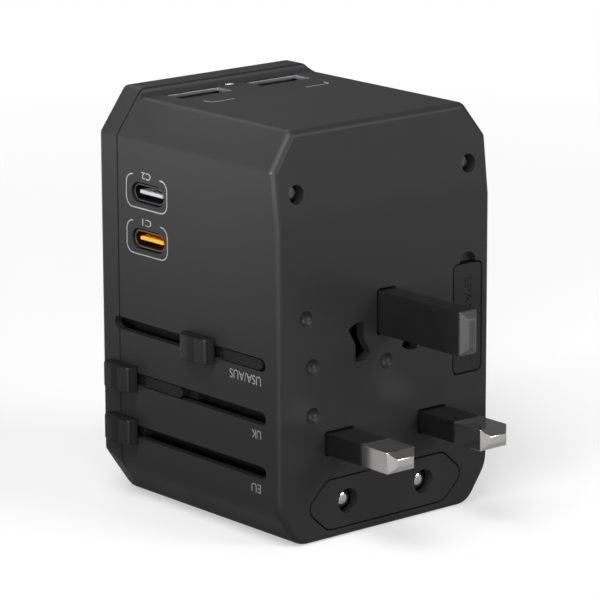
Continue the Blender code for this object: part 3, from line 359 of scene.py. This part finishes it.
visibleEdges = {                                # how much each piece's edges are broken
    "front_housing": 0, "rear_cover": 0, "eu_block": 0, "spare_fuse_drawer": 0.14,
    "uk_carriage": 0.15, "usa_aus_carriage": 0.15, "eu_carriage": 0.15, "socket_shutter": 0.15,
    "uk_button": 0.12, "usa_aus_button": 0.12, "eu_button": 0.12,
    "uk_live_pin": 0.12, "uk_neutral_pin": 0.12, "uk_live_sleeve": 0.10, "uk_neutral_sleeve": 0.10,
    "uk_earth_pin": 0.20, "left_blade": 0.12, "right_blade": 0.12,
    "usb_c_port_lower": 0.06, "usb_c_port_upper": 0.06,
    "usb_a_port_left": 0.08, "usb_a_port_right": 0.08,
    "usb_c_tongue_lower": 0.10, "usb_c_tongue_upper": 0.10,
    "usb_a_tongue_left": 0.12, "usb_a_tongue_right": 0.12,
    "shutter_spring": 0, "status_light": 0.10, "spare_fuse": 0.25,
    "housing_screw_left": 0.12, "housing_screw_right": 0.12,
}
# the earth pin's end gets a painted highlight: its last stretch is coloured paler where the light falls on
# its end face and chamfers
earthPin = {"colour": (0.0062, 0.0062, 0.0065), "paler": (0.045, 0.045, 0.046), "rough": 0.30, "grain": 0.40,
            "relief": 0.003, "gloss": 0.42, "litLength": 1.25, "fade": 0.3,
            "tip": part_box("uk_earth_pin")[0].y / mm}
finishes["earthPin"] = paintedLitTip("earthPinFinish", earthPin)
ownLooks = {
    "uk_earth_pin": "earthPin", "spare_fuse_drawer": "coverPlastic",
    "housing_screw_left": "screwSteel", "housing_screw_right": "screwSteel",
    # the lower port's shell carries a painted orange reflection of its tongue
    "usb_c_port_upper": "darkSteel", "usb_c_port_lower": "warmSteel",
    "usb_a_port_left": "darkSteel", "usb_a_port_right": "darkSteel",
    # the buttons take the darker slot plastic, a painted shade of their slots
    "uk_button": "slotPlastic", "usa_aus_button": "slotPlastic", "eu_button": "slotPlastic",
}
shells = {}
for node, edge in visibleEdges.items():
    shells[node] = refined(node, edge, ownLooks.get(node))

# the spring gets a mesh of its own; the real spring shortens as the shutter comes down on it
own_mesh(shells["shutter_spring"])

sideX = -25.3                                   # the button side
onPlane = 0.01                                  # how near a point is to a plane it lies in
brokenEdges = {"side": 0.22, "sideEnd": 19, "lip": 0.45, "lipFoot": 75.5, "euRim": 0.18}
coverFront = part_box("rear_cover")[0].y / mm


def onButtonSide(point):
    return abs(point.x - sideX) < onPlane and point.y < brokenEdges["sideEnd"]


def onCoverLip(point):
    return abs(point.y - coverFront) < onPlane and point.z > brokenEdges["lipFoot"]


def onPinFace(point):
    return abs(point.y - pinFaceY) < onPlane


sharpEdgesWhere(shells["front_housing"], lambda a, b: onButtonSide(a) and onButtonSide(b),
                brokenEdges["side"], 3)
sharpEdgesWhere(shells["rear_cover"], lambda a, b: onCoverLip(a) and onCoverLip(b), brokenEdges["lip"], 4)
sharpEdgesWhere(shells["eu_block"], lambda a, b: onPinFace(a) and onPinFace(b), brokenEdges["euRim"], 3)
for node in ("front_housing", "rear_cover", "eu_block"):
    smooth(shells[node])
for node, cad in frame["nodes"].items():
    if node not in visibleEdges:
        cad.data.materials.clear()
        cad.data.materials.append(finishes[slotOf[node]])
print("carried over:", len(visibleEdges), "refined,", len(frame["nodes"]) - len(visibleEdges), "as packed")


def lettering(name, text, start, along, up, length, height, proud=0.02):
    # start is the first letter's foot; along and up are the directions of the line and the letters
    bpy.ops.object.text_add()
    piece = bpy.context.object
    piece.data.body = text
    piece.data.extrude = 0.5
    onlySelect(piece)
    bpy.ops.object.convert(target="MESH")
    piece.name = name
    points = piece.data.vertices
    low = Vector([min(p.co[i] for p in points) for i in range(3)])
    high = Vector([max(p.co[i] for p in points) for i in range(3)])
    across, over = Vector(along), Vector(up)
    out = across.cross(over)
    wide, tall = length / (high.x - low.x), height / (high.y - low.y)
    turn = Matrix((across * wide, over * tall, out * 2 * proud)).transposed().to_4x4()
    shift = Matrix.Translation(-Vector((low.x, low.y, 0)))
    piece.data.transform(Matrix.Translation(Vector(start) * mm) @ Matrix.Scale(mm, 4) @ turn @ shift)
    onlySelect(piece)
    bpy.ops.object.mode_set(mode="EDIT")
    bpy.ops.mesh.select_all(action="SELECT")
    bpy.ops.mesh.remove_doubles(threshold=0.0000005)
    bpy.ops.mesh.normals_make_consistent(inside=False)
    bpy.ops.object.mode_set(mode="OBJECT")
    return piece


buttonWords = {
    "usaAusWord": {"text": "USA/AUS", "foot": 31.3, "cap": 29.6, "from": 4.8, "to": 13.5},
    "ukWord": {"text": "UK", "foot": 21.4, "cap": 19.8, "from": 4.9, "to": 7.5},
    "euWord": {"text": "EU", "foot": 11.4, "cap": 9.8, "from": 5.0, "to": 7.6},
    "upperPortWord": {"text": "C2", "foot": 62.95, "cap": 61.65, "from": 35.7, "to": 38.3},
    "lowerPortWord": {"text": "C1", "foot": 54.3, "cap": 53.0, "from": 35.7, "to": 38.3},
}
for name, word in buttonWords.items():
    label = lettering(name, word["text"], (sideX, pinFace(word["from"]), word["foot"]),
                      (0, 1, 0), (0, 0, -1), word["to"] - word["from"], word["foot"] - word["cap"])
    dress(label, "labelInk", "housing")

fuseWord = {"text": "SPARE FUSE", "x": 19.0, "top": 43.3, "bottom": 27.3, "height": 1.7, "deep": 0.14}
cutter = lettering("fuseWordCutter", fuseWord["text"], (fuseWord["x"], pinFace(0), fuseWord["top"]),
                   (0, 0, -1), (1, 0, 0), fuseWord["top"] - fuseWord["bottom"], fuseWord["height"],
                   fuseWord["deep"])
applyModifier(shells["spare_fuse_drawer"], "BOOLEAN", operation="DIFFERENCE", solver="EXACT", object=cutter)
bpy.data.objects.remove(cutter)
smooth(shells["spare_fuse_drawer"])
print("words:", len(buttonWords) + 1)


def outlineRing(name, u, v, line, corner, gaps, plane):
    # a thin printed ring with stretches left out, all in millimetres of u and v
    bpy.ops.mesh.primitive_plane_add(size=1)
    piece = bpy.context.object
    piece.name = name
    wide, tall = u[1] - u[0], v[1] - v[0]
    bpy.ops.object.mode_set(mode="EDIT")
    bpy.ops.transform.resize(value=(wide, tall, 1))
    bpy.ops.mesh.bevel(offset=corner, segments=6, affect="VERTICES")
    bpy.ops.mesh.inset(thickness=line)
    bpy.ops.mesh.delete(type="FACE")
    bpy.ops.object.mode_set(mode="OBJECT")
    middle = ((u[0] + u[1]) / 2, (v[0] + v[1]) / 2)
    for gapU, gapV in gaps:
        bpy.ops.object.mode_set(mode="EDIT")
        for axis, limits in enumerate((gapU, gapV)):
            for limit in limits:
                place, normal = [0, 0, 0], [0, 0, 0]
                place[axis], normal[axis] = limit - middle[axis], 1
                bpy.ops.mesh.select_all(action="SELECT")
                bpy.ops.mesh.bisect(plane_co=place, plane_no=normal)
        bpy.ops.mesh.select_all(action="DESELECT")
        bpy.ops.mesh.select_mode(type="FACE")
        bpy.ops.object.mode_set(mode="OBJECT")
        for face in piece.data.polygons:
            centre = face.center
            inU = gapU[0] - middle[0] < centre.x < gapU[1] - middle[0]
            inV = gapV[0] - middle[1] < centre.y < gapV[1] - middle[1]
            face.select = inU and inV
        bpy.ops.object.mode_set(mode="EDIT")
        bpy.ops.mesh.delete(type="FACE")
        bpy.ops.object.mode_set(mode="OBJECT")
    applyModifier(piece, "SOLIDIFY", thickness=0.04, offset=0)
    piece.data.transform(plane @ Matrix.Translation((middle[0], middle[1], 0)))
    piece.data.transform(Matrix.Scale(mm, 4))
    onlySelect(piece)
    bpy.ops.object.mode_set(mode="EDIT")
    bpy.ops.mesh.select_all(action="SELECT")
    bpy.ops.mesh.normals_make_consistent(inside=False)
    bpy.ops.object.mode_set(mode="OBJECT")
    return dress(piece, "labelInk", "housing")


portLines = {"line": 0.24, "corner": 1.9, "ahead": 5.7, "behind": 6.4, "below": 3.0, "above": 3.3,
             "gap": (-3.5, 4.35)}
sidePlane = Matrix(((0, 0, -1, sideX), (1, 0, 0, pinFace(0)), (0, 1, 0, 0), (0, 0, 0, 1)))
for side in ("upper", "lower"):
    low, high = [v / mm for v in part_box("usb_c_port_" + side)]
    depth = (low.y + high.y) / 2 - pinFace(0)
    level = (low.z + high.z) / 2
    depths = (depth - portLines["ahead"], depth + portLines["behind"])
    heights = (level - portLines["below"], level + portLines["above"])
    gap = (tuple(depth + g for g in portLines["gap"]), (heights[1] - 1, heights[1] + 1))
    outlineRing(side + "PortLine", depths, heights, portLines["line"], portLines["corner"],
                [gap], sidePlane)

topLines = {"line": 0.22, "corner": 0.9, "x": (-14.0, 14.5), "depths": (32.0, 40.0), "level": 75.2,
            "clear": (-8.5, 8.6), "back": 34.2}
topPlane = Matrix(((1, 0, 0, 0), (0, 1, 0, pinFace(0)), (0, 0, 1, topLines["level"]), (0, 0, 0, 1)))
topGaps = [((-20, 20), (topLines["back"], 45)), (topLines["clear"], (30, topLines["back"]))]
outlineRing("topLine", topLines["x"], topLines["depths"], topLines["line"], topLines["corner"],
            topGaps, topPlane)
print("printed lines: 3")

cove = {"x": 22.0, "front": 43.95, "back": 45.3, "foot": 75.0, "top": 76.35, "end": 19.4,
        "hollow": 1.28, "steps": 8, "profile": 0.12, "endSlope": (6.5, 4.8)}
coveStrip = block("coveStrip", (-cove["x"], pinFace(cove["front"]), cove["foot"]),
                  (cove["x"], pinFace(cove["back"]), cove["top"]))
frontY = pinFace(cove["front"]) * mm
aboveFoot = (cove["foot"] + 1) * mm
edgesWhere(coveStrip, lambda a, b: all(abs(p.y - frontY) < 1e-6 and p.z > aboveFoot for p in (a, b)))
bpy.ops.mesh.bevel(offset=cove["hollow"] * mm, segments=cove["steps"], profile=cove["profile"])
bpy.ops.object.mode_set(mode="OBJECT")
for side in (-1, 1):                            # its ends lie in the slope of the chamfers
    bpy.ops.object.mode_set(mode="EDIT")
    bpy.ops.mesh.select_all(action="SELECT")
    bpy.ops.mesh.bisect(plane_co=(side * cove["end"] * mm, 0, cove["top"] * mm),
                        plane_no=(side * cove["endSlope"][0], 0, cove["endSlope"][1]),
                        clear_outer=True, use_fill=True)
    bpy.ops.object.mode_set(mode="OBJECT")
smooth(coveStrip, 50)
dress(coveStrip, "shell_black", "housing")
print("cove: done")


def roundPin(name, node, look):
    low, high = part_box(node)
    middle = (low + high) / 2
    bpy.ops.mesh.primitive_cylinder_add(vertices=48, radius=(high.x - low.x) / 2, depth=high.y - low.y,
                                        location=middle, rotation=(math.pi / 2, 0, 0))
    piece = bpy.context.object
    piece.name = name
    settle(piece)
    edgesWhere(piece, lambda a, b: all(abs(p.y - low.y) < 1e-6 for p in (a, b)))
    bpy.ops.mesh.bevel(offset=look["dome"] * mm, segments=8)
    bpy.ops.object.mode_set(mode="OBJECT")
    smooth(piece, 50)
    return dress(piece, "nickel", "eu_pins", node)


euPin = {"dome": 1.5}
roundPin("euLeftPin", "eu_left_pin", euPin)
roundPin("euRightPin", "eu_right_pin", euPin)
print("round pins: 2")

portContacts = {"usbA": {"count": 4, "pitch": 2.2, "size": (1.0, 0.08, 7.0), "ahead": 0.05, "under": 4.2},
                "usbC": {"count": 6, "pitch": 0.95, "size": (3.8, 0.26, 0.06), "inward": 2.6, "over": 0.03}}


def contactStrip(name, centre, size):
    low = [c - s / 2 for c, s in zip(centre, size)]
    high = [c + s / 2 for c, s in zip(centre, size)]
    piece = block(name, low, high)
    bpy.ops.object.mode_set(mode="EDIT")
    bpy.ops.mesh.select_all(action="SELECT")
    bpy.ops.mesh.bevel(offset=min(size) * 0.3 * mm, segments=2)
    bpy.ops.object.mode_set(mode="OBJECT")
    smooth(piece)
    return dress(piece, "contactGold", "housing", slot="brass")


for side in ("left", "right"):
    low, high = [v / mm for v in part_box("usb_a_tongue_" + side)]
    look = portContacts["usbA"]
    for i in range(look["count"]):
        x = (low.x + high.x) / 2 + (i - (look["count"] - 1) / 2) * look["pitch"]
        contactStrip("usbAContact_%s_%d" % (side, i), (x, low.y - look["ahead"], high.z - look["under"]),
                     look["size"])
for side in ("lower", "upper"):
    low, high = [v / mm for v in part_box("usb_c_tongue_" + side)]
    look = portContacts["usbC"]
    for i in range(look["count"]):
        y = (low.y + high.y) / 2 + (i - (look["count"] - 1) / 2) * look["pitch"]
        contactStrip("usbCContact_%s_%d" % (side, i), (low.x + look["inward"], y, high.z + look["over"]),
                     look["size"])
print("port contacts: done")

knob = {"length": 7.5, "flare": 4.1, "height": 4.86, "foot": -25.56, "crown": -27.88, "swell": 0.28,
        "stations": (-0.6, -0.3, 0.0, 0.3, 0.6), "upright": 0.75, "uprightFrom": -26.5, "level": 0.38}


def knobCap(name, node, body):
    low, high = [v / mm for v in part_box(node)]
    middle = high.y - knob["flare"]
    level = (low.z + high.z) / 2
    half, rise = knob["length"] / 2, knob["height"] / 2
    cap = block(name, (knob["crown"] + knob["swell"], middle - half, level - rise),
                (knob["foot"], middle + half, level + rise))
    crown = (knob["crown"] + knob["swell"]) * mm
    bpy.ops.object.mode_set(mode="EDIT")
    for share in knob["stations"]:              # cuts along the finger face
        bpy.ops.mesh.select_all(action="SELECT")
        bpy.ops.mesh.bisect(plane_co=(0, (middle + half * share) * mm, 0), plane_no=(0, 1, 0))
    bpy.ops.object.mode_set(mode="OBJECT")
    for point in cap.data.vertices:             # the finger face swells in the middle
        if abs(point.co.x - crown) < 1e-6:
            along = (point.co.y / mm - middle) / half
            point.co.x -= knob["swell"] * (1 - along * along) * mm

    def atEnd(point):
        return point.x < knob["uprightFrom"] * mm and abs(abs(point.y / mm - middle) - half) < onPlane

    edgesWhere(cap, lambda a, b: atEnd(a) and atEnd(b) and abs(a.z - b.z) > 3 * mm)
    bpy.ops.mesh.bevel(offset=knob["upright"] * mm, segments=5)
    bpy.ops.object.mode_set(mode="OBJECT")
    applyModifier(cap, "BEVEL", width=knob["level"] * mm, segments=4, limit_method="ANGLE",
                  angle_limit=math.radians(50))
    smooth(cap, 40)
    return dress(cap, "knobPlastic", body, slot="pin_plastic")


knobCap("usaSlotKnob", "uk_button", "uk_pins")
knobCap("ukSlotKnob", "usa_aus_button", "usa_aus_blades")
knobCap("euSlotKnob", "eu_button", "eu_pins")
print("knob caps: 3")

mouth = {"inset": 0.26, "rim": 0.24, "top": 75.0, "foot": 74.3, "edge": 0.09}


def portRim(name, node):
    low, high = [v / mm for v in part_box(node)]
    inset = mouth["inset"]
    rim = block(name, (low.x + inset, low.y + inset, mouth["foot"]),
                (high.x - inset, high.y - inset, mouth["top"]))
    bpy.ops.object.mode_set(mode="EDIT")
    bpy.ops.mesh.select_mode(type="FACE")
    bpy.ops.mesh.select_all(action="DESELECT")
    bpy.ops.object.mode_set(mode="OBJECT")
    for face in rim.data.polygons:
        face.select = abs(face.normal.z) > 0.9
    bpy.ops.object.mode_set(mode="EDIT")
    bpy.ops.mesh.inset(thickness=mouth["rim"] * mm)
    bpy.ops.mesh.bridge_edge_loops()
    bpy.ops.mesh.select_all(action="SELECT")
    bpy.ops.mesh.normals_make_consistent(inside=False)
    bpy.ops.object.mode_set(mode="OBJECT")
    applyModifier(rim, "BEVEL", width=mouth["edge"] * mm, segments=2, limit_method="ANGLE",
                  angle_limit=math.radians(50))
    smooth(rim)
    return dress(rim, "screwSteel", "housing", slot="steel")


portRim("leftPortRim", "usb_a_port_left")
portRim("rightPortRim", "usb_a_port_right")

plug = {"radius": 1.62, "back": 3.2, "front": 1.35, "dome": 0.9, "level": 64.2,
        "slopeFoot": 58.0, "slope": 0.115}      # the face leans back above its slope's foot
for side in ("left", "right"):
    low, high = [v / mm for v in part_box("housing_screw_" + side)]
    face = pinFace((plug["level"] - plug["slopeFoot"]) * plug["slope"])
    x, z = (low.x + high.x) / 2, (low.z + high.z) / 2
    depth = plug["back"] - plug["front"]
    bpy.ops.mesh.primitive_cylinder_add(vertices=48, radius=plug["radius"] * mm, depth=depth * mm,
                                        location=(x * mm, (face + plug["front"] + depth / 2) * mm, z * mm),
                                        rotation=(math.pi / 2, 0, 0))
    cap = bpy.context.object
    cap.name = "screwPlug_" + side
    settle(cap)
    frontY = (face + plug["front"]) * mm
    edgesWhere(cap, lambda a, b: all(abs(p.y - frontY) < 1e-6 for p in (a, b)))
    bpy.ops.mesh.bevel(offset=plug["dome"] * mm, segments=8)
    bpy.ops.object.mode_set(mode="OBJECT")
    smooth(cap, 50)
    dress(cap, "darkSteel", "housing", slot="steel")
print("rims and plugs: 4")


floorLook = {"near": 0.06, "far": 0.42, "lift": 0.45, "dim": 0.08, "mirrorLift": 0.12,
             "bounce": (0.22, 0.22, 0.22), "dark": (0.92, 0.92, 0.92), "light": (0.94, 0.94, 0.94)}


def stageFloor(look):
    # white to the eye with the shadow kept near, a weaker white for the light it throws back, and in
    # reflections a painted shadow: the floor is coloured darker near the object
    bpy.ops.mesh.primitive_plane_add(size=8, location=(0, 0, -0.00002))
    floor = bpy.context.object
    floor.name = "floor"
    s = Shader("floorFinish")
    tone = s.noise(60.0, 2.0)
    rays = s.add("ShaderNodeLightPath", {}, {})
    ray = {name: Wire(s, rays.socket.node.outputs["Is %s Ray" % name])
           for name in ("Camera", "Glossy", "Transmission")}
    away = s.add("ShaderNodeVectorMath", {"operation": "LENGTH"}, {0: s.place}, 1)
    fade = s.ramp(away, (look["near"], look["far"]), (look["lift"], 1.0))
    # painted shadow in reflections: near the object the floor shows mostly the weaker white, brightening to
    # full white far off
    mirrored = s.ramp(away, (look["dim"], look["far"]), (look["mirrorLift"], 1.0))
    seen = ray["Camera"] + (ray["Glossy"] + ray["Transmission"]) * mirrored
    shown = s.blend(tone, look["dark"], look["light"])
    colour = s.add("ShaderNodeMix", {"data_type": "RGBA"},
                   {0: seen, 6: (*look["bounce"], 1), 7: shown}, 2)
    s.set(Base_Color=colour, Roughness=0.85)
    s.surface.inputs["Specular IOR Level"].default_value = 0.1
    white = s.add("ShaderNodeEmission", {}, {"Color": (1, 1, 1, 1), "Strength": 1.0})
    both = s.add("ShaderNodeMixShader", {}, {0: fade * seen, 1: Wire(s, s.surface.outputs[0]), 2: white})
    s.tree.links.new(both.socket, s.tree.nodes["Material Output"].inputs[0])
    floor.data.materials.append(s.material)


def softLamp(name, place, target, size, power, spread=180):
    bpy.ops.object.light_add(type="AREA", location=place)
    lamp = bpy.context.object
    lamp.name = name
    lamp.data.shape = "RECTANGLE"
    lamp.data.size, lamp.data.size_y = size
    lamp.data.energy = power
    lamp.data.spread = math.radians(spread)
    lamp.rotation_euler = (Vector(target) - Vector(place)).to_track_quat("-Z", "Y").to_euler()


lamps = {
    "keyLamp": {"place": (-0.60, -0.30, 1.00), "target": (0, 0, 0.04), "size": (0.7, 0.7), "power": 12.5},
    "pinSideLamp": {"place": (0.55, -1.10, 0.60), "target": (0, 0, 0.04), "size": (0.7, 0.7), "power": 10.5},
    "edgeLamp": {"place": (-0.95, -0.88, 0.14), "target": (0, 0, 0.04), "size": (0.20, 0.30), "power": 9.0},
    "sideLamp": {"place": (-0.52, -0.02, 0.20), "target": (-0.025, 0, 0.112), "size": (0.05, 0.05),
                 "power": 0.09, "spread": 17},
    "backLamp": {"place": (0.30, 0.90, 1.00), "target": (0, 0, 0.04), "size": (0.9, 0.9), "power": 2.4},
}
stageFloor(floorLook)
for name, lamp in lamps.items():
    softLamp(name, **lamp)
worldStrength = 0.11
world = bpy.context.scene.world or bpy.data.worlds.new("studio")
bpy.context.scene.world = world
world.use_nodes = True
world.node_tree.nodes["Background"].inputs["Color"].default_value = (1, 1, 1, 1)
world.node_tree.nodes["Background"].inputs["Strength"].default_value = worldStrength

view = {"place": (-0.4286, -0.5080, 0.2028), "azimuth": 40.24, "down": 13.98, "roll": -0.20, "lens": 223.0}
turn, tilt, roll = (math.radians(view[key]) for key in ("azimuth", "down", "roll"))
ahead = Vector((math.sin(turn) * math.cos(tilt), math.cos(turn) * math.cos(tilt), -math.sin(tilt)))
flatRight = Vector((math.cos(turn), -math.sin(turn), 0))
flatUp = flatRight.cross(ahead)
right = flatRight * math.cos(roll) + flatUp * math.sin(roll)
up = flatUp * math.cos(roll) - flatRight * math.sin(roll)
bpy.ops.object.camera_add(location=view["place"])
camera = bpy.context.object
camera.rotation_euler = Matrix((right, up, -ahead)).transposed().to_euler()
camera.data.lens = view["lens"]
camera.data.sensor_width = 36
camera.data.clip_start, camera.data.clip_end = 0.01, 20
bpy.context.scene.camera = camera
bpy.context.scene.view_settings.view_transform = "Standard"
print("stage: done")
